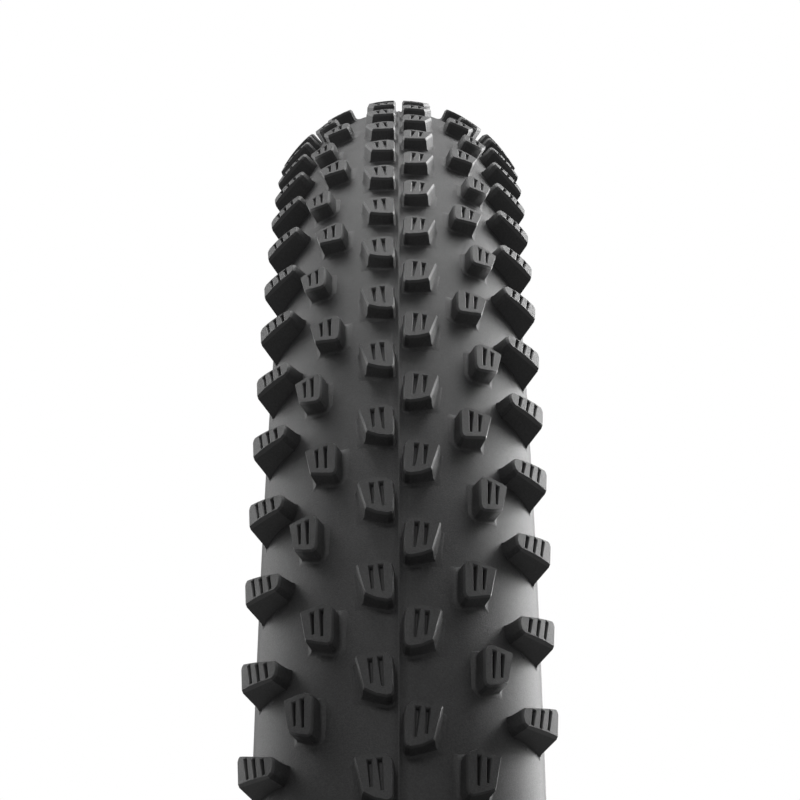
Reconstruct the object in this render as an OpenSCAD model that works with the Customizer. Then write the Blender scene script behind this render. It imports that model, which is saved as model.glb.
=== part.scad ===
// Knobby bicycle tire, 29 x 2.2 in (ETRTO 56-622), shown inflated and off its rim.
// The origin is the wheel's centre. The wheel turns about Y, and +Z is up.
// Section drawings lie in the XY plane: x is the distance from the axle, y is the distance
// from the middle plane, and angles run from the crown towards +Y.

/* [Casing] */
// Diameter of the bead seat, where the tire sits on the rim
seat_dia = 622; // [620:1:624]
// Diameter over the centre knobs
outer_dia = 736.6; // [734:0.2:740]
// Width of the casing between the sidewalls
casing_w = 53.4; // [52.6:0.1:54.2]
// Distance between the middles of the two bead cores
bead_gap = 21; // [20:0.5:22]

/* [Layers] */
// Thickness of the tread base and sidewall rubber
rubber_t = 0.8; // [0.75:0.05:0.9]
// Thickness of each casing ply
ply_t = 0.35; // [0.3:0.05:0.4]
// Thickness of the airtight liner
liner_t = 0.3; // [0.2:0.05:0.4]
// Thickness of the puncture belt under the tread
belt_t = 0.3; // [0.2:0.05:0.4]
// Half angle of the puncture belt round the section, in degrees
belt_angle = 50; // [40:1:60]
// Half angle of the tread base round the section, in degrees
tread_angle = 76; // [75:1:80]

/* [Beads] */
// Radius of each bead core bundle
core_r = 1.45; // [1.2:0.05:1.5]
// Thickness of the fabric wrap on each core
wrap_t = 0.3; // [0.2:0.05:0.3]

/* [Tread] */
// Knobs in each of the six rows
knob_count = 108; // [104:4:112]
// Height of the centre knobs at the middle plane
knob_h = 2.8; // [2.4:0.1:3.2]
// Radius of the rounded envelope that the knob tops lie on
crown_r = 33.5; // [33:0.5:35]
// How far the flat root of each knob is sunk below the curve of the tread base
root_sink = 0.05; // [0.05:0.01:0.1]
// Height of the mould's parting ridge on the middle line
ridge_h = 0.25; // [0.1:0.05:0.4]

/* [Hidden] */
$fn = 96;

// section of the casing: a circle of section_r round the point (section_x, 0)
section_r = casing_w / 2;
section_x = outer_dia / 2 - knob_h - section_r;
envelope_x = outer_dia / 2 - crown_r;

// radii of the layers round the section's middle, from the outside in
rubber_in = section_r - rubber_t;
outer_ply_in = rubber_in - ply_t;
inner_ply_in = outer_ply_in - ply_t;
liner_in = inner_ply_in - liner_t;

// the bead: its middle lies where the inner ply can wrap round it
wrap_r = core_r + wrap_t;
turn_r = wrap_r + ply_t;
bead_y = bead_gap / 2;
bead_reach = outer_ply_in + wrap_r + 0.05;
bead_x = section_x - sqrt(bead_reach * bead_reach - bead_y * bead_y);
seat_r = seat_dia / 2;
bead_r = bead_x - seat_r;
bead_out = bead_y + bead_r;
bead_in = bead_y - bead_r;
bead_angle = 180 - asin(bead_y / bead_reach);

// where the layers end above the bead, as angles round the section
apex_angle = 136;
chafer_angle = 142;
flank_angle = 150.5;
outer_ply_end = bead_angle - 4;
apex_t = rubber_t / 2;

// the filler's outer corner, measured from the bead's middle
apex_corner = 1.75;

// colours
tread_colour = [0.10, 0.10, 0.105];
wall_colour = [0.15, 0.15, 0.155];
cord_colour = [0.62, 0.57, 0.47];
butyl_colour = [0.05, 0.05, 0.05];
aramid_colour = [0.80, 0.64, 0.25];
chafer_colour = [0.22, 0.22, 0.23];

// tread layout: pitch, and the places of the rows along the tread and round the envelope
pitch = 360 / knob_count;
mm_angle = 360 / (PI * outer_dia);
centre_mid = 4.35;
inner_mid = 15.6;
outer_mid = 19.05;
shoulder_mid = 29.4;
inner_along = 13.15;
outer_along = -5.8;
shoulder_along = -11.9;
inner_w = 7.0;
outer_w = 6.5;

// ---------- section shapes ----------

// a point of the section at a radius and an angle
function on_circle(r, a) = [section_x + r * cos(a), r * sin(a)];

// the wedge of the plane between two angles round the section's middle
module sector(from, to) {
    reach = 2 * section_r;
    steps = 8;
    polygon(concat([[section_x, 0]], [
        for (k = [0:steps])
            on_circle(reach, from + (to - from) * k / steps)
    ]));
}

module section_disc(r) {
    translate([section_x, 0]) circle(r);
}

// a layer of the casing between two radii and two angles
module layer(r_in, r_out, from, to) {
    intersection() {
        difference() {
            section_disc(r_out);
            section_disc(r_in);
        }
        sector(from, to);
    }
}

module bead_disc(r) {
    translate([bead_x, bead_y]) circle(r);
}

// a section shape turned round the axle
module ring() {
    rotate([-90, 0, 0]) rotate_extrude() children();
}

// the right-hand piece, or its mirror image on the left
module on_side(side) {
    mirror([0, side < 0 ? 1 : 0, 0]) children();
}

// ---------- inner layers ----------

module inner_liner() {
    color(butyl_colour) ring()
        layer(liner_in, inner_ply_in, -bead_angle - 2, bead_angle + 2);
}

// half of the inner ply's turn-up round one bead core, open where the apex stands
module turn_up() {
    difference() {
        bead_disc(turn_r);
        bead_disc(wrap_r);
        translate([bead_x, bead_y])
            polygon([[0, 0], [4, 0.4], [4, 4], [2, 4]]);
    }
}

module inner_ply() {
    color(cord_colour) ring() {
        layer(inner_ply_in, outer_ply_in, -bead_angle, bead_angle);
        turn_up();
        mirror([0, 1]) turn_up();
    }
}

module outer_ply() {
    color(cord_colour) ring()
        layer(outer_ply_in, rubber_in, -outer_ply_end, outer_ply_end);
}

module breaker_belt() {
    color(aramid_colour) ring()
        layer(rubber_in, rubber_in + belt_t, -belt_angle, belt_angle);
}

// ---------- beads ----------

module bead_core(side) {
    color(aramid_colour) on_side(side) ring() bead_disc(core_r);
}

module bead_wrap(side) {
    color(cord_colour) on_side(side) ring() difference() {
        bead_disc(wrap_r);
        bead_disc(core_r);
    }
}

// the filler that stands in the turn-up's opening and runs up under the sidewall, drawn with
// short straight sides that clear the plies and the wrap by a hair
module apex_section() {
    steps = 8;
    hair = 0.01;
    foot_angle = bead_angle - 2.2;
    outer = [
        for (k = [0:steps])
            let (a = flank_angle + (apex_angle - flank_angle) * k / steps)
                on_circle(rubber_in + apex_t, a)
    ];
    inner = [
        for (k = [0:steps])
            let (a = apex_angle + (foot_angle - apex_angle) * k / steps)
                on_circle(rubber_in + hair, a)
    ];
    foot = [
        for (a = [7, 20, 33, 46, 60])
            [bead_x + (wrap_r + 2 * hair) * cos(a), bead_y + (wrap_r + 2 * hair) * sin(a)]
    ];
    tip = [
        [bead_x + turn_r * cos(60), bead_y + turn_r * sin(60)],
        [bead_x + apex_corner, bead_y + apex_corner]
    ];
    polygon(concat(outer, inner, foot, tip));
}

module apex(side) {
    color(butyl_colour) on_side(side) ring() apex_section();
}

// the strip that covers the bead: a flat seat against the rim, a heel and the flank above it,
// drawn with short straight sides that clear the bead's turn-up and the filler by a hair
module chafer_section() {
    flank_steps = 6;
    wrap_steps = 20;
    hair = 0.01;
    wrap_from = 62;
    wrap_to = 288;
    wrap_step = (wrap_to - wrap_from) / wrap_steps;
    clear_r = turn_r / cos(wrap_step / 2);
    toe = [bead_x + 0.65, bead_in + 0.12];
    seat = [[bead_x, bead_in], [seat_r, bead_in], [seat_r, bead_out]];
    heel = [[bead_x + 0.9, bead_out], [bead_x + 1.6, bead_out - 0.05]];
    flank = [
        for (k = [0:flank_steps])
            let (a = flank_angle + (chafer_angle - flank_angle) * k / flank_steps)
                on_circle(section_r, a)
    ];
    back = [
        for (k = [0:flank_steps])
            let (a = chafer_angle + (flank_angle - chafer_angle) * k / flank_steps)
                on_circle(rubber_in + apex_t + hair, a)
    ];
    corner = [bead_x + apex_corner, bead_y + apex_corner + 2 * hair];
    wrap = [
        for (k = [0:wrap_steps])
            let (a = wrap_from + wrap_step * k)
                [bead_x + clear_r * cos(a), bead_y + clear_r * sin(a)]
    ];
    polygon(concat([toe], seat, heel, flank, back, [corner], wrap));
}

module chafer(side) {
    color(chafer_colour) on_side(side) ring() chafer_section();
}

// ---------- rubber skin ----------

module sidewall(side) {
    color(wall_colour) on_side(side) ring() {
        layer(rubber_in, section_r, tread_angle, apex_angle);
        layer(rubber_in + apex_t, section_r, apex_angle, chafer_angle);
    }
}

module tread_base() {
    ridge_w = 0.7;
    ridge_root = 0.1;
    ridge_x = section_x + section_r;
    color(tread_colour) ring() {
        difference() {
            layer(rubber_in, section_r, -tread_angle, tread_angle);
            layer(rubber_in, rubber_in + belt_t, -belt_angle, belt_angle);
        }
        translate([ridge_x, 0]) polygon([
            [-ridge_root, -ridge_w / 2], [ridge_h, -ridge_w / 5],
            [ridge_h, ridge_w / 5], [-ridge_root, ridge_w / 2]
        ]);
    }
}

// ---------- knobs ----------
// Each outline is a list of [across, along] in millimetres on the knob tops, measured
// across the tread from the middle plane and along it from the middle of the knob.
// The leading edge is the straight upper one.

function centre_outline() = [
    [0.85, -3.9], [1.2, -4.7], [2.1, -5.05], [4.2, -4.4], [6.3, -3.0], [7.9, 4.2],
    [7.6, 4.6], [4.2, 4.95], [2.3, 4.75], [1.3, 3.9], [0.9, 3.0]
];

function middle_outline(start, w) = [
    [start, -3.6], [start + 0.35, -4.6], [start + 1.0, -4.85], [start + 2.9, -4.0],
    [start + w - 1.4, -2.5], [start + w - 1.2, -2.0], [start + w, 4.6], [start + w - 0.15, 4.8],
    [start + 1.9, 4.85], [start + 0.6, 4.1], [start + 0.05, 3.0]
];

// the shoulder outline runs past the outer edge, where the sloping flank ends the knob
function shoulder_outline() = [
    [24.0, -2.65], [24.3, -3.55], [25.2, -4.15], [37.0, -0.9], [37.0, 6.15],
    [26.0, 0.55], [24.8, -0.05], [24.1, -0.95]
];

// a point of a knob's root at an angle, just below the tread base's curve
function on_base(a) = on_circle(section_r - root_sink, a);
// the point of the knob tops' envelope at a distance across it
function on_top(across) = let (a = across / crown_r * 180 / PI)
    [envelope_x + crown_r * cos(a), crown_r * sin(a)];
// the angle on the tread base beneath a point of the knob tops
function base_angle(across) = let (p = on_top(across)) atan2(p[1], p[0] - section_x);

// one knob: its section, with a flat root and a rounded top, cut by its outline
module knob(outline, mid, root_from, root_to, top_from, top_to) {
    mid_angle = mid / crown_r * 180 / PI;
    reach = 14;
    facets = 4;
    top = [for (k = [0:facets]) on_top(top_to + (top_from - top_to) * k / facets)];
    intersection() {
        linear_extrude(height = reach, center = true)
            polygon(concat([on_base(root_from), on_base(root_to)], top));
        translate([envelope_x, 0]) rotate([0, 0, mid_angle]) translate([crown_r - reach, 0, 0])
            rotate([90, 0, 90]) linear_extrude(height = reach + 2)
                polygon([for (p = outline) [p[0] - mid, p[1]]]);
    }
}

module centre_knob() {
    knob(centre_outline(), centre_mid, base_angle(0.2), base_angle(9), 0, 9.5);
}

module inner_knob() {
    start = inner_mid - inner_w / 2;
    knob(middle_outline(start, inner_w), inner_mid,
        base_angle(start - 0.2), base_angle(start + inner_w + 0.3), start - 1, start + inner_w + 1);
}

module outer_knob() {
    start = outer_mid - outer_w / 2;
    knob(middle_outline(start, outer_w), outer_mid,
        base_angle(start - 0.2), base_angle(start + outer_w + 0.3), start - 1, start + outer_w + 1);
}

module shoulder_knob() {
    foot_angle = 74;
    knob(shoulder_outline(), shoulder_mid, base_angle(23.8), foot_angle, 23.5, 34.6);
}

// moves a knob along the tread; the left half is the right half's mirror image, half a pitch back
module along(side, steps, mm) {
    half_pitch = side < 0 ? pitch / 2 : 0;
    rotate([0, -(steps * pitch + mm * mm_angle - half_pitch), 0]) on_side(side) children();
}

module centre_knobs(side) {
    color(tread_colour) for (i = [0:knob_count - 1]) along(side, i, 0) centre_knob();
}

// inner and outer places take turns
module middle_knobs(side) {
    color(tread_colour) for (i = [0:2:knob_count - 1]) {
        along(side, i, inner_along) inner_knob();
        along(side, i, outer_along) outer_knob();
    }
}

module shoulder_knobs(side) {
    color(tread_colour) for (i = [0:knob_count - 1]) along(side, i, shoulder_along) shoulder_knob();
}

// ---------- nodes ----------

inner_liner();
inner_ply();
outer_ply();
breaker_belt();
bead_core(-1);  // bead_core_left
bead_core(1);  // bead_core_right
bead_wrap(-1);  // bead_wrap_left
bead_wrap(1);  // bead_wrap_right
apex(-1);  // apex_left
apex(1);  // apex_right
chafer(-1);  // chafer_left
chafer(1);  // chafer_right
sidewall(-1);  // sidewall_left
sidewall(1);  // sidewall_right
tread_base();
centre_knobs(-1);  // centre_knobs_left
centre_knobs(1);  // centre_knobs_right
middle_knobs(-1);  // middle_knobs_left
middle_knobs(1);  // middle_knobs_right
shoulder_knobs(-1);  // shoulder_knobs_left
shoulder_knobs(1);  // shoulder_knobs_right
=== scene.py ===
import math

import bmesh
import bpy
from mathutils import Matrix, Vector


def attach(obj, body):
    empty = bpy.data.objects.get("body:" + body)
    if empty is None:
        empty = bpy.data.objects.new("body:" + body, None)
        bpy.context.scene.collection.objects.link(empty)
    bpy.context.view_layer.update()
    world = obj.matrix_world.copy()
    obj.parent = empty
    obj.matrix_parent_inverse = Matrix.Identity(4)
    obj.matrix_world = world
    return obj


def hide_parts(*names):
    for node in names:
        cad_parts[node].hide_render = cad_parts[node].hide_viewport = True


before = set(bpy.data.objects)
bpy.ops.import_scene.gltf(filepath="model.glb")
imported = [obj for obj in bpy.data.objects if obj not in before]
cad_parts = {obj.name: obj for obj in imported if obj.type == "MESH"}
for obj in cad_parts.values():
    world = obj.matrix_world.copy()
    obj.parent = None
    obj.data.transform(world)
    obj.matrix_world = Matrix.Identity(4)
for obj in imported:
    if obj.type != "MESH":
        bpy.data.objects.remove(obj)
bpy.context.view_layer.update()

# A knobby bicycle tire, turned about Y, with its origin at the wheel's centre.
# All lengths are in metres. The section of the casing is a circle in the XY plane.
MM = 0.001
OUTER_R = 0.3683
SECTION_R = 0.0267
SECTION_X = 0.3388
CROWN_R = 0.0335
ENVELOPE_X = OUTER_R - CROWN_R
RUBBER = 0.0008

# the tread's layout, as in the part
KNOB_COUNT = 108
PITCH = 2 * math.pi / KNOB_COUNT
STEPS_ROUND = 432

# the middle of each row, in millimetres across the tread from the middle plane
CENTRE_MID = 4.35
INNER_MID = 15.6
OUTER_MID = 19.05
SHOULDER_MID = 29.4
# how far each row is ahead of the centre row, in millimetres along the tread
INNER_ALONG = 13.15
OUTER_ALONG = -5.8
SHOULDER_ALONG = -11.9
# the heights of the knobs and the depths of their slots, in millimetres
CENTRE_H = 2.8
INNER_H = 3.4
OUTER_H = 3.7
SHOULDER_H = 4.8
CENTRE_SIPE = 0.85
MIDDLE_SIPE = 1.0
SHOULDER_SIPE = 1.4
RIM = 0.28
LIP = 0.2

TREAD_ANGLE = 76
CHAFER_ANGLE = 142
FLANK_ANGLE = 150.5
FIT_LINE_ANGLE = 132
LINER_ANGLE = 160
LINER_OUT = 0.0252
LINER_IN = 0.0249
# the middle of a bead core: millimetres from the axle and from the middle plane
BEAD = (313.546, 10.5)
# half the width and the height of the raised lines, in millimetres
PARTING_RIDGE = (0.32, 0.12)
FIT_LINE = (0.4, 0.22)
# edges sharper than this many degrees stay hard
RING_EDGE = 60
CHAFER_EDGE = 35
KNOB_EDGE = 34


# ---------- working in edit mode ----------

def work_on(piece):
    """Makes piece the only selected, active object."""
    if bpy.context.object and bpy.context.object.mode != "OBJECT":
        bpy.ops.object.mode_set(mode="OBJECT")
    bpy.ops.object.select_all(action="DESELECT")
    piece.select_set(True)
    bpy.context.view_layer.objects.active = piece


def start_shape(name):
    """Names the primitive that was just added and opens it in edit mode."""
    piece = bpy.context.object
    piece.name = name
    piece.data.name = name
    bpy.ops.object.mode_set(mode="EDIT")
    return piece


def pick(kind, wanted):
    """Selects the corners, edges or faces of the open mesh that wanted(element) accepts."""
    piece = bpy.context.object
    bpy.ops.mesh.select_mode(type=kind)
    bpy.ops.mesh.select_all(action="DESELECT")
    mesh = bmesh.from_edit_mesh(piece.data)
    elements = {"VERT": mesh.verts, "EDGE": mesh.edges, "FACE": mesh.faces}[kind]
    for element in elements:
        if wanted(element):
            element.select_set(True)
    mesh.select_flush_mode()
    bmesh.update_edit_mesh(piece.data)


def shift(x, y, z):
    bpy.ops.transform.translate(value=(x, y, z))


def pull_corners(piece, corners):
    """Pulls the corners of a new circle, one at a time, to their places in millimetres."""
    for index, (x, y) in enumerate(corners):
        pick("VERT", lambda v: v.index == index)
        here = bmesh.from_edit_mesh(piece.data).verts
        here.ensure_lookup_table()
        shift(x * MM - here[index].co.x, y * MM - here[index].co.y, 0)


def scale_about(centre, x, y, z):
    bpy.ops.transform.resize(value=(x, y, z), center_override=centre)


def name_corners(piece, name):
    """Keeps the selected corners as a group that a modifier can use."""
    group = piece.vertex_groups.new(name=name)
    piece.vertex_groups.active_index = group.index
    bpy.ops.object.vertex_group_assign()


def apply_modifier(piece, kind, **settings):
    modifier = piece.modifiers.new(kind.title(), kind)
    for key, value in settings.items():
        setattr(modifier, key, value)
    bpy.ops.object.modifier_apply(modifier=modifier.name)


# ---------- rings turned about the axle ----------

def on_section(angle, radius=SECTION_R):
    a = math.radians(angle)
    return Vector((SECTION_X + radius * math.cos(a), radius * math.sin(a), 0))


def section_angle(place):
    return math.degrees(math.atan2(place.y, place.x - SECTION_X))


def turn_about_axle():
    """Turns the open profile round the axle and closes it."""
    bpy.ops.mesh.select_all(action="SELECT")
    bpy.ops.mesh.spin(steps=STEPS_ROUND, angle=2 * math.pi, center=(0, 0, 0), axis=(0, 1, 0))
    bpy.ops.mesh.select_all(action="SELECT")
    bpy.ops.mesh.remove_doubles(threshold=0.004 * MM)
    bpy.ops.mesh.normals_make_consistent(inside=False)


def layer_profile(name, start, end, r_out, r_in, spacing):
    """A closed outline between two angles and two radii of the section."""
    bpy.ops.object.select_all(action="DESELECT")
    bpy.ops.mesh.primitive_circle_add(
        vertices=round(360 / spacing), radius=r_out, fill_type="NOTHING", location=(SECTION_X, 0, 0),
        rotation=(0, 0, -math.pi / 2))
    piece = start_shape(name)
    bpy.ops.object.mode_set(mode="OBJECT")
    bpy.ops.object.transform_apply(location=True, rotation=True, scale=True)
    bpy.ops.object.mode_set(mode="EDIT")
    margin = spacing / 4
    pick("VERT", lambda v: not start - margin < section_angle(v.co) < end + margin)
    bpy.ops.mesh.delete(type="VERT")
    bpy.ops.mesh.select_all(action="SELECT")
    bpy.ops.mesh.extrude_edges_move(TRANSFORM_OT_translate={"value": (0, 0, 0)})
    shrink = r_in / r_out
    scale_about((SECTION_X, 0, 0), shrink, shrink, 1)
    bpy.ops.mesh.select_mode(type="EDGE")
    bpy.ops.mesh.select_all(action="SELECT")
    bpy.ops.mesh.region_to_loop()
    bpy.ops.mesh.select_all(action="INVERT")
    bpy.ops.mesh.delete(type="EDGE_FACE")
    return piece


def ring_of_edges(angle):
    """Accepts the edges that run round the tire on the outer skin at this angle of the section."""
    def wanted(edge):
        first, second = (Vector((math.hypot(v.co.x, v.co.z), v.co.y, 0)) for v in edge.verts)
        return (first - second).length < 0.01 * MM and (first - on_section(angle)).length < 0.01 * MM
    return wanted


def raise_ridge(angle, half_width, height):
    """Raises a rounded ridge round the tire out of a ring of edges."""
    pick("EDGE", ring_of_edges(angle))
    bpy.ops.mesh.bevel(offset=half_width * MM, segments=4, profile=0.5, affect="EDGES")
    line = on_section(angle)
    near = 0.72 * half_width * MM
    pick("VERT", lambda v: (Vector((math.hypot(v.co.x, v.co.z), v.co.y, 0)) - line).length < near)
    bpy.ops.transform.shrink_fatten(value=height * MM)


def finish_ring(piece, flat_angle):
    bpy.ops.object.mode_set(mode="OBJECT")
    bpy.ops.object.shade_smooth_by_angle(angle=math.radians(flat_angle))
    return piece


def make_tread_base():
    piece = layer_profile("tread_skin", -TREAD_ANGLE, TREAD_ANGLE, SECTION_R, SECTION_R - RUBBER, 4)
    turn_about_axle()
    raise_ridge(0, *PARTING_RIDGE)
    return finish_ring(piece, RING_EDGE)


def make_sidewall(name, side):
    start, end = (TREAD_ANGLE, CHAFER_ANGLE) if side > 0 else (-CHAFER_ANGLE, -TREAD_ANGLE)
    piece = layer_profile(name, start, end, SECTION_R, SECTION_R - RUBBER, 2)
    turn_about_axle()
    raise_ridge(side * FIT_LINE_ANGLE, *FIT_LINE)
    return finish_ring(piece, RING_EDGE)


def make_liner():
    piece = layer_profile("airtight_liner", -LINER_ANGLE, LINER_ANGLE, LINER_OUT, LINER_IN, 5)
    turn_about_axle()
    return finish_ring(piece, RING_EDGE)


def make_chafer(name, side):
    """The strip round the bead: a flat seat with rounded corners, a heel, and the flank above it."""
    bead_x, bead_y = BEAD
    seat = [
        (314.2, 8.07), (313.55, 7.954), (311.3, 7.954), (311.08, 8.03), (311.0, 8.25),
        (311.0, 12.72), (311.09, 12.96), (311.33, 13.046), (314.45, 13.046), (315.15, 12.99)]
    angles = [FLANK_ANGLE - 1.7 * step for step in range(6)]
    flank = [on_section(a) / MM for a in angles]
    back = [on_section(a, SECTION_R - RUBBER / 2) / MM for a in reversed(angles)]
    wrap = [(bead_x + 2.12 * math.cos(math.radians(a)), bead_y + 2.12 * math.sin(math.radians(a)))
            for a in range(62, 319, 16)]
    lip = [(bead_x + 1.72, bead_y - 1.75), (bead_x + 1.2, bead_y - 2.15)]
    outline = seat + [(p.x, p.y) for p in flank + back] + [(bead_x + 1.75, bead_y + 1.77)] + wrap + lip
    bpy.ops.object.select_all(action="DESELECT")
    bpy.ops.mesh.primitive_circle_add(vertices=len(outline), radius=4 * MM, fill_type="NOTHING")
    piece = start_shape(name)
    pull_corners(piece, [(x, side * y) for x, y in outline])
    turn_about_axle()
    return finish_ring(piece, CHAFER_EDGE)


# ---------- knobs ----------
# A knob is modelled flat, with its top face at z = 0: x runs across the tread, y along it.
# Then it is bent to the crown, set in its place and its foot is pressed onto the skin.

def top_plate(name, corners):
    """The flat top face of a knob."""
    bpy.ops.object.select_all(action="DESELECT")
    bpy.ops.mesh.primitive_circle_add(vertices=len(corners), radius=4 * MM, fill_type="NGON")
    piece = start_shape(name)
    pull_corners(piece, corners)
    bpy.ops.mesh.select_all(action="SELECT")
    bpy.ops.mesh.normals_make_consistent(inside=False)
    return piece


def at_level(z):
    return lambda v: abs(v.co.z - z) < 0.001 * MM


def add_walls(piece, corners, rings):
    """Draws the outline down in rings, each (name, drop, growth outwards, {corner: (across, along)}).
    The last part pulls single corners of the ring further, in millimetres."""
    places = [Vector(corner) * MM for corner in corners]
    for name, drop, growth, pulls in rings:
        pick("EDGE", lambda e: e.is_boundary)
        bpy.ops.mesh.extrude_edges_move(TRANSFORM_OT_translate={"value": (0, 0, -drop * MM)})
        bpy.ops.transform.shrink_fatten(value=growth * MM)
        name_corners(piece, name)
        ring = [v.co.xy for v in bmesh.from_edit_mesh(piece.data).verts if v.is_boundary]
        places = [min(ring, key=lambda spot: (spot - place).length).copy() for place in places]
        for corner, (across, along) in pulls.items():
            spot = places[corner]
            pick("VERT", lambda v: v.is_boundary and (v.co.xy - spot).length < 0.01 * MM)
            shift(across * MM, along * MM, 0)
            places[corner] = spot + Vector((across, along)) * MM


def cut_sipes(sipes, depth):
    """Sinks tapered slots with chamfered lips into the top face. Each slot is (left, right) at the
    leading end, then at the trailing end, each end with its place along the knob."""
    for (left_a, right_a, along_a), (left_b, right_b, along_b) in sipes:
        for xa, xb in ((left_a, left_b), (right_a, right_b)):
            pick("FACE", lambda f: f.normal.z > 0.99)
            run = Vector((xb - xa, along_b - along_a, 0)).normalized()
            bpy.ops.mesh.bisect(plane_co=(xa * MM, along_a * MM, 0), plane_no=(run.y, -run.x, 0))

        def in_strip(face):
            if face.normal.z < 0.99:
                return False
            c = face.calc_center_median()
            share = (c.y / MM - along_b) / (along_a - along_b)
            left = left_b + (left_a - left_b) * share
            right = right_b + (right_a - right_b) * share
            return left < c.x / MM < right
        for along in (along_a, along_b):
            pick("FACE", in_strip)
            bpy.ops.mesh.bisect(plane_co=(0, along * MM, 0), plane_no=(0, 1, 0))

        def is_slot(face):
            c = face.calc_center_median()
            return in_strip(face) and along_b < c.y / MM < along_a
        pick("FACE", is_slot)
        spot = ((left_a + right_a + left_b + right_b) / 4 * MM, (along_a + along_b) / 2 * MM, 0)
        width = (right_a - left_a + right_b - left_b) / 2
        length = along_a - along_b
        # the lip on the inner side is the wider one
        for drop, aside, narrowing, shortening in ((LIP, 0.1, 0.36, 0.4), (depth - LIP, 0, 0.12, 0.5)):
            bpy.ops.mesh.extrude_region_move(TRANSFORM_OT_translate={"value": (aside * MM, 0, -drop * MM)})
            scale_about(spot, 1 - narrowing / width, 1 - shortening / length, 1)
            width -= narrowing
            length -= shortening


def bend_to_crown(piece):
    hinge = bpy.data.objects.new("bend_frame", None)
    bpy.context.scene.collection.objects.link(hinge)
    hinge.rotation_euler = (math.pi / 2, 0, 0)
    bpy.context.view_layer.update()
    width = piece.dimensions.x
    apply_modifier(piece, "SIMPLE_DEFORM", deform_method="BEND", deform_axis="Z",
                   angle=-width / CROWN_R, origin=hinge)
    bpy.data.objects.remove(hinge)


def knob_place(across):
    """Where a knob's own frame stands on the crown, before it is moved along the tread."""
    a = across * MM / CROWN_R
    out = Vector((math.cos(a), math.sin(a), 0))
    sideways = Vector((-math.sin(a), math.cos(a), 0))
    place = Vector((ENVELOPE_X, 0, 0)) + CROWN_R * out
    matrix = Matrix((sideways, Vector((0, 0, 1)), out)).transposed().to_4x4()
    matrix.translation = place
    return matrix


def seat_on_skin(piece, across, skin):
    """Sets the knob on the crown and brings each ring of its foot to its height above the skin."""
    piece.matrix_world = knob_place(across)
    bpy.context.view_layer.update()
    for name, height in FOOT:
        apply_modifier(piece, "SHRINKWRAP", target=skin, vertex_group=name, wrap_method="PROJECT",
                       use_project_z=True, use_negative_direction=True, use_positive_direction=True,
                       offset=height * MM, wrap_mode="ABOVE_SURFACE")
    bpy.ops.object.transform_apply(location=True, rotation=True, scale=True)
    piece.vertex_groups.clear()


def mark_lips(piece):
    """Marks the chamfers of the rim and the slots, which the mould leaves smoother than the rest and on which
    the tread rubber paints a paler highlight.
    """
    bpy.ops.object.mode_set(mode="OBJECT")
    # this mark gives the lips more gloss and a painted highlight in their colour
    marks = piece.data.attributes.new("smooth_edge", "FLOAT", "FACE")
    for face in piece.data.polygons:
        if face.normal.z > 0.2 and -RIM * MM < face.center.z < -0.02 * MM:
            marks.data[face.index].value = 1.0


def make_knob(name, corners, across, skin, rings, sipes, sipe_depth):
    corners = [(x - across, y) for x, y in corners]
    piece = top_plate(name, corners)
    add_walls(piece, corners, rings)
    pick("EDGE", lambda e: all(at_level(0)(v) for v in e.verts))
    bpy.ops.mesh.bevel(offset=RIM * MM, segments=1, affect="EDGES")
    cut_sipes([((l0 - across, r0 - across, a0), (l1 - across, r1 - across, a1))
               for (l0, r0, a0), (l1, r1, a1) in sipes], sipe_depth)
    mark_lips(piece)
    work_on(piece)
    bend_to_crown(piece)
    seat_on_skin(piece, across, skin)
    bpy.ops.object.shade_smooth_by_angle(angle=math.radians(KNOB_EDGE))
    return piece


# The rings of a knob's side, from the top: the wall with its draft, the hollow curve that runs out
# into the skin, and the edge that lies just under it. FOOT gives each ring's height above the skin.
FOOT = (("wall", 0.6), ("cove", 0.26), ("flare", 0.07), ("foot", -0.02))


def side_rings(height, pulls=None):
    """Rings for a knob of this height. pulls gives the extra pull of single corners, ring by ring."""
    pulls = pulls or {}
    return [(name, drop, growth, pulls.get(name, {})) for name, drop, growth in (
        ("wall", height - 0.6, 0.10), ("cove", 0.34, 0.12), ("flare", 0.19, 0.20), ("foot", 0.09, 0.30))]


CENTRE = [
    (0.85, -3.9), (1.2, -4.7), (2.1, -5.05), (4.2, -4.4), (6.3, -3.0), (7.9, 4.2),
    (7.6, 4.6), (4.2, 4.95), (2.3, 4.75), (1.3, 3.9), (0.9, 3.0)]
CENTRE_SIPES = [((2.75, 3.95, 3.75), (2.5, 3.1, -2.95)), ((4.55, 5.7, 3.55), (4.45, 5.05, -2.15))]
# the outer side leans out, and its trailing corner spreads into the skin
CENTRE_PULLS = {
    "wall": {5: (0.45, 0), 4: (0.5, -0.1), 3: (0.1, 0)},
    "cove": {5: (0.1, 0), 4: (0.3, -0.15), 10: (-0.05, 0), 0: (-0.05, 0)},
    "flare": {5: (0.1, 0), 4: (0.5, -0.35), 3: (0.2, -0.2), 10: (0.1, 0), 0: (0.1, 0)},
    "foot": {5: (0.1, 0), 4: (0.55, -0.5), 3: (0.3, -0.3), 10: (0.2, 0), 0: (0.2, 0)}}


def middle_outline(start, w):
    return [
        (start, -3.6), (start + 0.35, -4.6), (start + 1.0, -4.85), (start + 2.9, -4.0),
        (start + w - 1.4, -2.5), (start + w - 1.2, -2.0), (start + w, 4.6), (start + w - 0.15, 4.8),
        (start + 1.9, 4.85), (start + 0.6, 4.1), (start + 0.05, 3.0)]


INNER_SIPES = [((13.85, 15.0, 3.75), (13.8, 14.5, -2.8)), ((15.8, 16.9, 3.65), (15.65, 16.3, -1.8))]
OUTER_SIPES = [((17.4, 18.55, 3.65), (17.25, 17.95, -2.9)), ((19.2, 20.3, 3.55), (19.05, 19.7, -2.0))]
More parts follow.
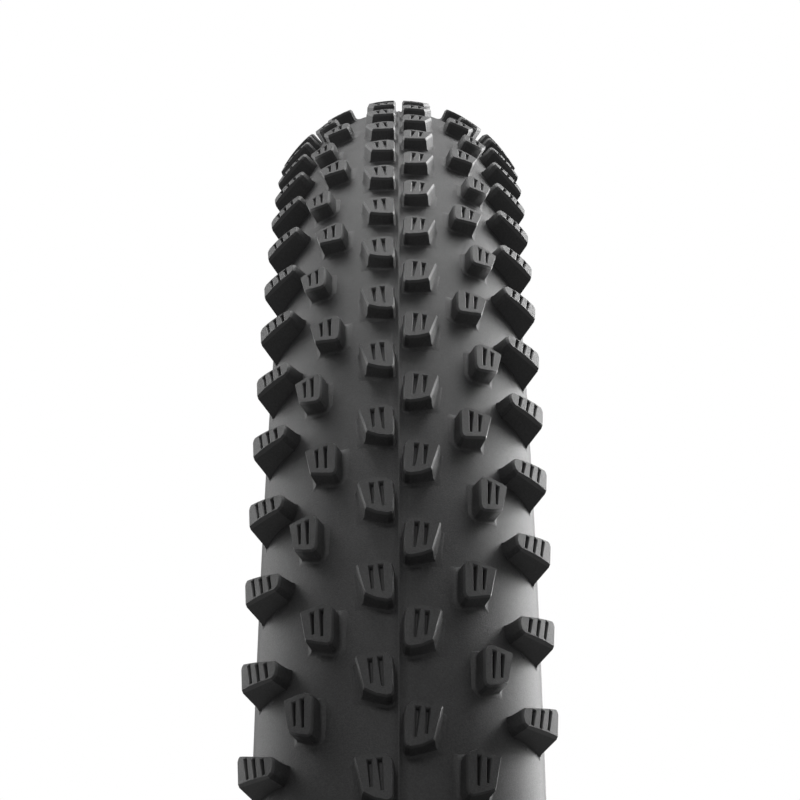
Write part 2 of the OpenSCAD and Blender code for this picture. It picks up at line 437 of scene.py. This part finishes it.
# the leading inner corner and the trailing outer corner spread at the foot
MIDDLE_PULLS = {
    "wall": {9: (-0.2, 0.05), 10: (-0.15, 0), 0: (-0.15, 0), 4: (0.15, -0.05)},
    "cove": {9: (-0.3, 0.05), 10: (-0.25, 0), 0: (-0.1, -0.05), 4: (0.2, -0.1)},
    "flare": {9: (-0.5, 0.05), 10: (-0.4, 0), 0: (-0.3, -0.1), 4: (0.4, -0.3), 5: (0.2, -0.1)},
    "foot": {9: (-0.7, 0.05), 10: (-0.6, 0), 0: (-0.5, -0.2), 1: (-0.2, -0.3), 4: (0.5, -0.5),
             5: (0.4, -0.2)}}

SHOULDER = [
    (24.0, -2.4), (24.35, -3.6), (25.3, -4.15), (34.3, -1.65), (34.85, 3.6), (34.55, 4.35),
    (33.8, 4.62), (26.0, 0.6), (24.8, 0.0), (24.15, -0.95)]
SHOULDER_SIPES = [
    ((26.5, 27.6, 0.6), (25.8, 26.75, -3.3)), ((28.9, 30.0, 1.75), (28.05, 29.0, -2.85)),
    ((31.4, 32.5, 3.05), (30.4, 31.35, -2.0))]
# the outer flank slopes out to the sidewall, and a buttress runs down from the inner side
SHOULDER_PULLS = {
    "wall": {3: (1.95, -0.6), 4: (1.6, 0), 5: (1.5, 0), 6: (1.05, 0), 9: (-0.25, 0.2), 0: (-0.2, 0)},
    "cove": {3: (0.15, -0.15), 4: (0.1, 0), 5: (0.1, 0), 9: (-0.45, 0.15), 0: (-0.4, 0)},
    "flare": {3: (0.2, -0.5), 9: (-0.7, 0.15), 0: (-0.6, -0.1), 1: (-0.3, -0.1), 2: (0, -0.1)},
    "foot": {3: (0.1, -0.7), 4: (-0.1, 0), 9: (-0.9, 0.2), 0: (-0.8, -0.3), 1: (-0.6, -0.4),
             2: (-0.2, -0.5)}}


def copies_round(piece, count, first, step):
    """Copies the knob round the axle, each copy with its own mesh."""
    row = []
    for index in range(count):
        knob = piece.copy()
        knob.data = piece.data.copy()
        bpy.context.scene.collection.objects.link(knob)
        knob.data.transform(Matrix.Rotation(-(first + index * step), 4, "Y"))
        row.append(knob)
    return row


def join_row(name, knobs):
    work_on(knobs[0])
    for knob in knobs:
        knob.select_set(True)
    bpy.ops.object.join()
    row = bpy.context.object
    row.name = name
    row.data.name = name
    return row


def mirrored(piece):
    """The left-hand knob: the right-hand one mirrored in the middle plane."""
    other = piece.copy()
    other.data = piece.data.copy()
    bpy.context.scene.collection.objects.link(other)
    work_on(other)
    bpy.ops.object.mode_set(mode="EDIT")
    bpy.ops.mesh.select_all(action="SELECT")
    scale_about((0, 0, 0), 1, -1, 1)
    bpy.ops.mesh.flip_normals()
    bpy.ops.object.mode_set(mode="OBJECT")
    return other


def along(mm, side):
    """The angle round the axle of a row's first knob; the left rows stand half a pitch back."""
    return mm * MM / OUTER_R - (PITCH / 2 if side < 0 else 0)


# ---------- shader helpers ----------

class Value:
    """A socket, or a number, that can be used in sums."""

    def __init__(self, shop, socket):
        self.shop = shop
        self.socket = socket

    def sum(self, operation, *others, swap=False):
        terms = [self, *others]
        if swap:
            terms.reverse()
        return self.shop.add("ShaderNodeMath", {"operation": operation},
                             {i: t for i, t in enumerate(terms)}).out()

    def __add__(self, other): return self.sum("ADD", other)
    def __radd__(self, other): return self.sum("ADD", other)
    def __sub__(self, other): return self.sum("SUBTRACT", other)
    def __rsub__(self, other): return self.sum("SUBTRACT", other, swap=True)
    def __mul__(self, other): return self.sum("MULTIPLY", other)
    def __rmul__(self, other): return self.sum("MULTIPLY", other)
    def __truediv__(self, other): return self.sum("DIVIDE", other)
    def __pow__(self, other): return self.sum("POWER", other)
    def size(self): return self.sum("ABSOLUTE")
    def turn(self, other): return self.sum("ARCTAN2", other)
    def wave(self): return self.sum("SINE") * 0.5 + 0.5


class Node:
    def __init__(self, shop, node):
        self.shop = shop
        self.node = node

    def out(self, name=0):
        return Value(self.shop, self.node.outputs[name])


class Material:
    """Builds one material's nodes."""

    def __init__(self, name):
        self.material = bpy.data.materials.new(name)
        self.material.use_nodes = True
        self.tree = self.material.node_tree
        self.tree.nodes.clear()

    def add(self, kind, settings=None, inputs=None):
        node = self.tree.nodes.new(kind)
        for key, value in (settings or {}).items():
            if key == "stops":
                ramp = node.color_ramp
                while len(ramp.elements) < len(value):
                    ramp.elements.new(0.5)
                for element, (place, colour) in zip(ramp.elements, value):
                    element.position = place
                    element.color = (*colour, 1)
            else:
                setattr(node, key, value)
        for key, value in (inputs or {}).items():
            if isinstance(value, Value):
                self.tree.links.new(value.socket, node.inputs[key])
            else:
                node.inputs[key].default_value = value
        return Node(self, node)

    def place(self):
        """Object coordinates, in millimetres."""
        here = self.add("ShaderNodeTexCoord").out("Object")
        return self.add("ShaderNodeVectorMath", {"operation": "SCALE"}, {0: here, "Scale": 1000.0}).out()

    def parts(self):
        """The same place as three distances in millimetres."""
        node = self.add("ShaderNodeSeparateXYZ", {}, {0: self.place()})
        return node.out("X"), node.out("Y"), node.out("Z")

    def skin_place(self):
        """The angle round the axle, in radians, and the distance round the section, in millimetres."""
        x, y, z = self.parts()
        reach = (x * x + z * z) ** 0.5
        return z.turn(x), y.turn(reach - SECTION_X / MM) * (SECTION_R / MM)

    def bead_place(self):
        """The angle round the axle and the angle round the nearer bead core, in radians."""
        x, y, z = self.parts()
        reach = (x * x + z * z) ** 0.5
        return z.turn(x), (y.size() - BEAD[1]).turn(reach - BEAD[0])

    def noise(self, vector, scale, detail=3.0, roughness=0.5):
        return self.add("ShaderNodeTexNoise", {}, {
            "Vector": vector, "Scale": scale, "Detail": detail, "Roughness": roughness}).out("Fac")

    def between(self, share, low, high):
        """Maps share from one span to another: low and high are (from, to)."""
        return self.add("ShaderNodeMapRange", {}, {
            "Value": share, "From Min": low[0], "From Max": low[1],
            "To Min": high[0], "To Max": high[1]}).out()

    def blend(self, share, first, second):
        node = self.add("ShaderNodeMix", {"data_type": "RGBA"}, {"Factor": share})
        for key, value in ((6, first), (7, second)):
            if isinstance(value, Value):
                self.tree.links.new(value.socket, node.node.inputs[key])
            else:
                node.node.inputs[key].default_value = (*value, 1)
        return Value(self, node.node.outputs[2])

    def bump(self, height, strength, distance):
        return self.add("ShaderNodeBump", {}, {
            "Height": height, "Strength": strength, "Distance": distance}).out()

    def finish(self, colour, roughness, normal=None, **fixed):
        inputs = {"Base Color": colour, "Roughness": roughness}
        if normal is not None:
            inputs["Normal"] = normal
        inputs.update({key.replace("_", " "): value for key, value in fixed.items()})
        if not isinstance(colour, Value):
            inputs["Base Color"] = (*colour, 1)
        shader = self.add("ShaderNodeBsdfPrincipled", {}, inputs)
        self.add("ShaderNodeOutputMaterial", {}, {"Surface": shader.out()})
        return self.material


def tread_rubber():
    """Black tread compound with a fine grain, paler where it has bloomed, with a painted highlight and more
    gloss on the lips of the rims and slots.
    """
    m = Material("tread_rubber")
    place = m.place()
    grain = m.noise(place, 2.6, 4.0, 0.7)
    fine = m.noise(place, 7.0, 2.0, 0.6)
    bloom = m.noise(place, 0.07, 3.0, 0.55)
    edge = m.add("ShaderNodeAttribute", {"attribute_name": "smooth_edge"}).out("Fac")
    # the marked lips of the rims and slots are painted paler here as a highlight, and made glossier below
    pale = m.between(grain, (0.38, 0.68), (0.0, 0.55)) + m.between(bloom, (0.4, 0.7), (0.0, 0.35)) + edge
    colour = m.blend(pale, (0.0125, 0.0125, 0.013), (0.044, 0.044, 0.0445))
    roughness = m.between(fine, (0.3, 0.7), (0.46, 0.62)) - edge * 0.16
    normal = m.bump(grain * 0.6 + fine * 0.4, 0.6, 0.00014)
    return m.finish(colour, roughness, normal)


def sidewall_rubber():
    """Smooth black rubber in which the cords of the ply below show as faint slanted lines."""
    m = Material("sidewall_rubber")
    turn, out = m.skin_place()
    grain = m.noise(m.place(), 5.0, 3.0, 0.6)
    cords = (turn * 1400 + out * 4.0).wave()
    cloud = m.noise(m.place(), 0.06, 3.0, 0.55)
    colour = m.blend(m.between(cloud, (0.35, 0.7), (0.0, 1.0)), (0.016, 0.016, 0.0165), (0.031, 0.031, 0.032))
    roughness = m.between(grain, (0.3, 0.7), (0.52, 0.64))
    return m.finish(colour, roughness, m.bump(cords * 0.25 + grain * 0.75, 0.4, 0.0001))


def chafer_rubber():
    """Hard rubber that carries the print of the woven strip in it."""
    m = Material("chafer_rubber")
    x, y, z = m.parts()
    reach = (x * x + z * z) ** 0.5
    weave = (z.turn(x) * 2600).wave() * ((reach + y) * 8.0).wave()
    grain = m.noise(m.place(), 4.0, 3.0, 0.6)
    colour = m.blend(weave, (0.020, 0.020, 0.021), (0.036, 0.036, 0.037))
    roughness = m.between(grain, (0.3, 0.7), (0.55, 0.7))
    return m.finish(colour, roughness, m.bump(weave, 0.5, 0.00012))


def liner_rubber():
    """Butyl film with the crossed lines that the curing bladder leaves in it."""
    m = Material("liner_rubber")
    turn, out = m.skin_place()
    lines = (turn * 620 + out * 1.8).wave() ** 12 + (turn * 620 - out * 1.8).wave() ** 12
    cloud = m.noise(m.place(), 0.12, 3.0, 0.6)
    colour = m.blend(cloud, (0.024, 0.024, 0.025), (0.052, 0.051, 0.050))
    roughness = m.between(cloud, (0.3, 0.7), (0.34, 0.5))
    return m.finish(colour, roughness, m.bump(lines, 0.6, 0.00015))


def apex_rubber():
    m = Material("apex_rubber")
    streaks = m.noise(m.place(), 0.8, 4.0, 0.6)
    colour = m.blend(streaks, (0.012, 0.012, 0.012), (0.034, 0.033, 0.032))
    return m.finish(colour, m.between(streaks, (0.3, 0.7), (0.35, 0.55)), m.bump(streaks, 0.3, 0.0001))


def casing_cord():
    """Nylon cords side by side at a slant, dipped in rubber."""
    m = Material("casing_cord")
    turn, out = m.skin_place()
    cords = (turn * 4400 + out * 12.5).wave()
    fuzz = m.noise(m.place(), 4.0, 3.0, 0.6)
    colour = m.blend(cords * 0.7 + fuzz * 0.3, (0.10, 0.07, 0.035), (0.46, 0.37, 0.24))
    return m.finish(colour, m.between(fuzz, (0.3, 0.7), (0.6, 0.8)), m.bump(cords, 0.7, 0.00015))


def belt_fabric():
    """Aramid cloth in a plain weave."""
    m = Material("belt_fabric")
    turn, out = m.skin_place()
    weave = (turn * 3600).wave() * (out * 10.0).wave()
    fuzz = m.noise(m.place(), 5.0, 3.0, 0.6)
    colour = m.blend(weave * 0.8 + fuzz * 0.2, (0.22, 0.15, 0.03), (0.66, 0.50, 0.16))
    return m.finish(colour, m.between(fuzz, (0.3, 0.7), (0.55, 0.75)), m.bump(weave, 0.8, 0.0002))


def bead_cord():
    """A bundle of twisted aramid strands."""
    m = Material("bead_cord")
    turn, round_bead = m.bead_place()
    strands = (turn * 260 + round_bead * 13).wave()
    fuzz = m.noise(m.place(), 3.0, 3.0, 0.6)
    colour = m.blend(strands * 0.8 + fuzz * 0.2, (0.30, 0.20, 0.03), (0.74, 0.56, 0.16))
    return m.finish(colour, m.between(fuzz, (0.3, 0.7), (0.45, 0.6)), m.bump(strands, 0.9, 0.0003))


def wrap_fabric():
    """Open square cloth pressed into rubber."""
    m = Material("wrap_fabric")
    turn, round_bead = m.bead_place()
    weave = (turn * 3000).wave() * (round_bead * 20).wave()
    fuzz = m.noise(m.place(), 4.0, 3.0, 0.6)
    colour = m.blend(weave * 0.8 + fuzz * 0.2, (0.035, 0.034, 0.032), (0.40, 0.38, 0.34))
    return m.finish(colour, m.between(fuzz, (0.3, 0.7), (0.6, 0.8)), m.bump(weave, 0.7, 0.0002))


TREAD_RUBBER = tread_rubber()
SIDEWALL_RUBBER = sidewall_rubber()
CHAFER_RUBBER = chafer_rubber()
LINER_RUBBER = liner_rubber()


def give(piece, material):
    piece.data.materials.clear()
    piece.data.materials.append(material)


# ---------- the tire ----------

skin = make_tread_base()
sidewalls = {1: make_sidewall("right_sidewall_skin", 1), -1: make_sidewall("left_sidewall_skin", -1)}

centre = make_knob("centre_knob", CENTRE, CENTRE_MID, skin,
                   side_rings(CENTRE_H, CENTRE_PULLS), CENTRE_SIPES, CENTRE_SIPE)
inner = make_knob("inner_knob", middle_outline(12.1, 7.0), INNER_MID, skin,
                  side_rings(INNER_H, MIDDLE_PULLS), INNER_SIPES, MIDDLE_SIPE)
outer = make_knob("outer_knob", middle_outline(15.8, 6.5), OUTER_MID, skin,
                  side_rings(OUTER_H, MIDDLE_PULLS), OUTER_SIPES, MIDDLE_SIPE)
shoulder = make_knob("shoulder_knob", SHOULDER, SHOULDER_MID, skin,
                     side_rings(SHOULDER_H, SHOULDER_PULLS), SHOULDER_SIPES, SHOULDER_SIPE)

pieces = []
for side, word in ((1, "right"), (-1, "left")):
    c, i, o, s = [k if side > 0 else mirrored(k) for k in (centre, inner, outer, shoulder)]
    row = join_row(f"{word}_centre_row", copies_round(c, KNOB_COUNT, along(0, side), PITCH))
    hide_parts(f"centre_knobs_{word}")
    pieces.append(row)
    half = KNOB_COUNT // 2
    row = join_row(f"{word}_middle_row",
                   copies_round(i, half, along(INNER_ALONG, side), 2 * PITCH)
                   + copies_round(o, half, along(OUTER_ALONG, side), 2 * PITCH))
    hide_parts(f"middle_knobs_{word}")
    pieces.append(row)
    row = join_row(f"{word}_shoulder_row", copies_round(s, KNOB_COUNT, along(SHOULDER_ALONG, side), PITCH))
    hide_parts(f"shoulder_knobs_{word}")
    pieces.append(row)
    if side < 0:
        for k in (c, i, o, s):
            bpy.data.objects.remove(k)
for k in (centre, inner, outer, shoulder):
    bpy.data.objects.remove(k)

for row in pieces:
    give(row, TREAD_RUBBER)
    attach(row, "root")
give(skin, TREAD_RUBBER)
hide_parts("tread_base")
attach(skin, "root")
for side, word in ((1, "right"), (-1, "left")):
    wall = sidewalls[side]
    give(wall, SIDEWALL_RUBBER)
    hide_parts(f"sidewall_{word}")
    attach(wall, "root")

for side, word in ((1, "right"), (-1, "left")):
    strip = make_chafer(f"{word}_chafer_strip", side)
    give(strip, CHAFER_RUBBER)
    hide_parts(f"chafer_{word}")
    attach(strip, "root")
liner = make_liner()
give(liner, LINER_RUBBER)
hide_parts("inner_liner")
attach(liner, "root")

# the hidden pieces keep their shapes from the part
cord = casing_cord()
core = bead_cord()
wrap = wrap_fabric()
filler = apex_rubber()
HIDDEN = {
    "inner_ply": cord, "outer_ply": cord, "breaker_belt": belt_fabric(), "bead_core_left": core,
    "bead_core_right": core, "bead_wrap_left": wrap, "bead_wrap_right": wrap, "apex_left": filler,
    "apex_right": filler}
for name, material in HIDDEN.items():
    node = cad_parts[name]
    node.data.materials.clear()
    node.data.materials.append(material)

# ---------- the studio ----------

bpy.ops.object.select_all(action="DESELECT")
FLOOR_GAP = 0.0005
bpy.ops.mesh.primitive_circle_add(
    vertices=96, radius=3.5, fill_type="NGON", location=(0, 0, -OUTER_R - FLOOR_GAP))
floor = bpy.context.object
floor.name = "studio_floor"
paper = Material("pale_paper")
floor.data.materials.append(paper.finish(
    (0.82, 0.82, 0.82), 0.9, Emission_Color=(1, 1, 1, 1), Emission_Strength=0.62))


def soft_box(name, place, target, width, height, power):
    lamp = bpy.data.lights.new(name, "AREA")
    lamp.shape = "RECTANGLE"
    lamp.size = width
    lamp.size_y = height
    lamp.energy = power
    holder = bpy.data.objects.new(name, lamp)
    bpy.context.scene.collection.objects.link(holder)
    holder.visible_camera = False
    holder.location = place
    holder.rotation_euler = (Vector(target) - Vector(place)).to_track_quat("-Z", "Y").to_euler()


soft_box("top_box", (-0.7, 0.1, 1.45), (0.2, 0, 0.2), 1.4, 0.8, 10)
soft_box("right_box", (-1.0, 1.05, 0.5), (0.3, 0, 0.1), 0.9, 1.5, 28)
soft_box("left_box", (-0.85, -1.05, 0.6), (0.3, 0, 0.1), 0.8, 1.5, 9)
soft_box("back_right_box", (-1.7, 0.85, -0.1), (0.2, 0.1, 0.0), 1.5, 2.4, 4)
soft_box("back_left_box", (-1.7, -0.85, -0.1), (0.2, -0.1, 0.0), 1.5, 2.4, 0.7)
soft_box("front_box", (0.9, -0.3, 1.9), (0.3, 0, 0.1), 0.9, 0.5, 5)
floor.visible_diffuse = False
floor.visible_glossy = False

sky = bpy.data.worlds.new("studio")
bpy.context.scene.world = sky
sky.use_nodes = True
tree = sky.node_tree
tree.nodes.clear()
seen = tree.nodes.new("ShaderNodeBackground")
seen.inputs["Color"].default_value = (1, 1, 1, 1)
seen.inputs["Strength"].default_value = 1.0
lit = tree.nodes.new("ShaderNodeBackground")
lit.inputs["Color"].default_value = (1, 1, 1, 1)
lit.inputs["Strength"].default_value = 0.30
path = tree.nodes.new("ShaderNodeLightPath")
mix = tree.nodes.new("ShaderNodeMixShader")
output = tree.nodes.new("ShaderNodeOutputWorld")
tree.links.new(path.outputs["Is Camera Ray"], mix.inputs[0])
tree.links.new(lit.outputs[0], mix.inputs[1])
tree.links.new(seen.outputs[0], mix.inputs[2])
tree.links.new(mix.outputs[0], output.inputs[0])
bpy.context.scene.view_settings.view_transform = "Standard"

# The camera stands in front of the tread, a little above the axle, and looks slightly up.
CAMERA_REACH = 0.8799
CAMERA_LIFT = math.radians(16.34)
CAMERA_TILT = math.radians(19.31) - CAMERA_LIFT
lens = bpy.data.cameras.new("camera")
lens.lens = 141.7
lens.sensor_width = 36
lens.shift_x = 0.0014
lens.clip_start = 0.01
camera = bpy.data.objects.new("camera", lens)
bpy.context.scene.collection.objects.link(camera)
camera.matrix_world = Matrix((
    (0, math.sin(CAMERA_TILT), math.cos(CAMERA_TILT), CAMERA_REACH * math.cos(CAMERA_LIFT)),
    (1, 0, 0, 0),
    (0, math.cos(CAMERA_TILT), -math.sin(CAMERA_TILT), CAMERA_REACH * math.sin(CAMERA_LIFT)),
    (0, 0, 0, 1)))
bpy.context.scene.camera = camera
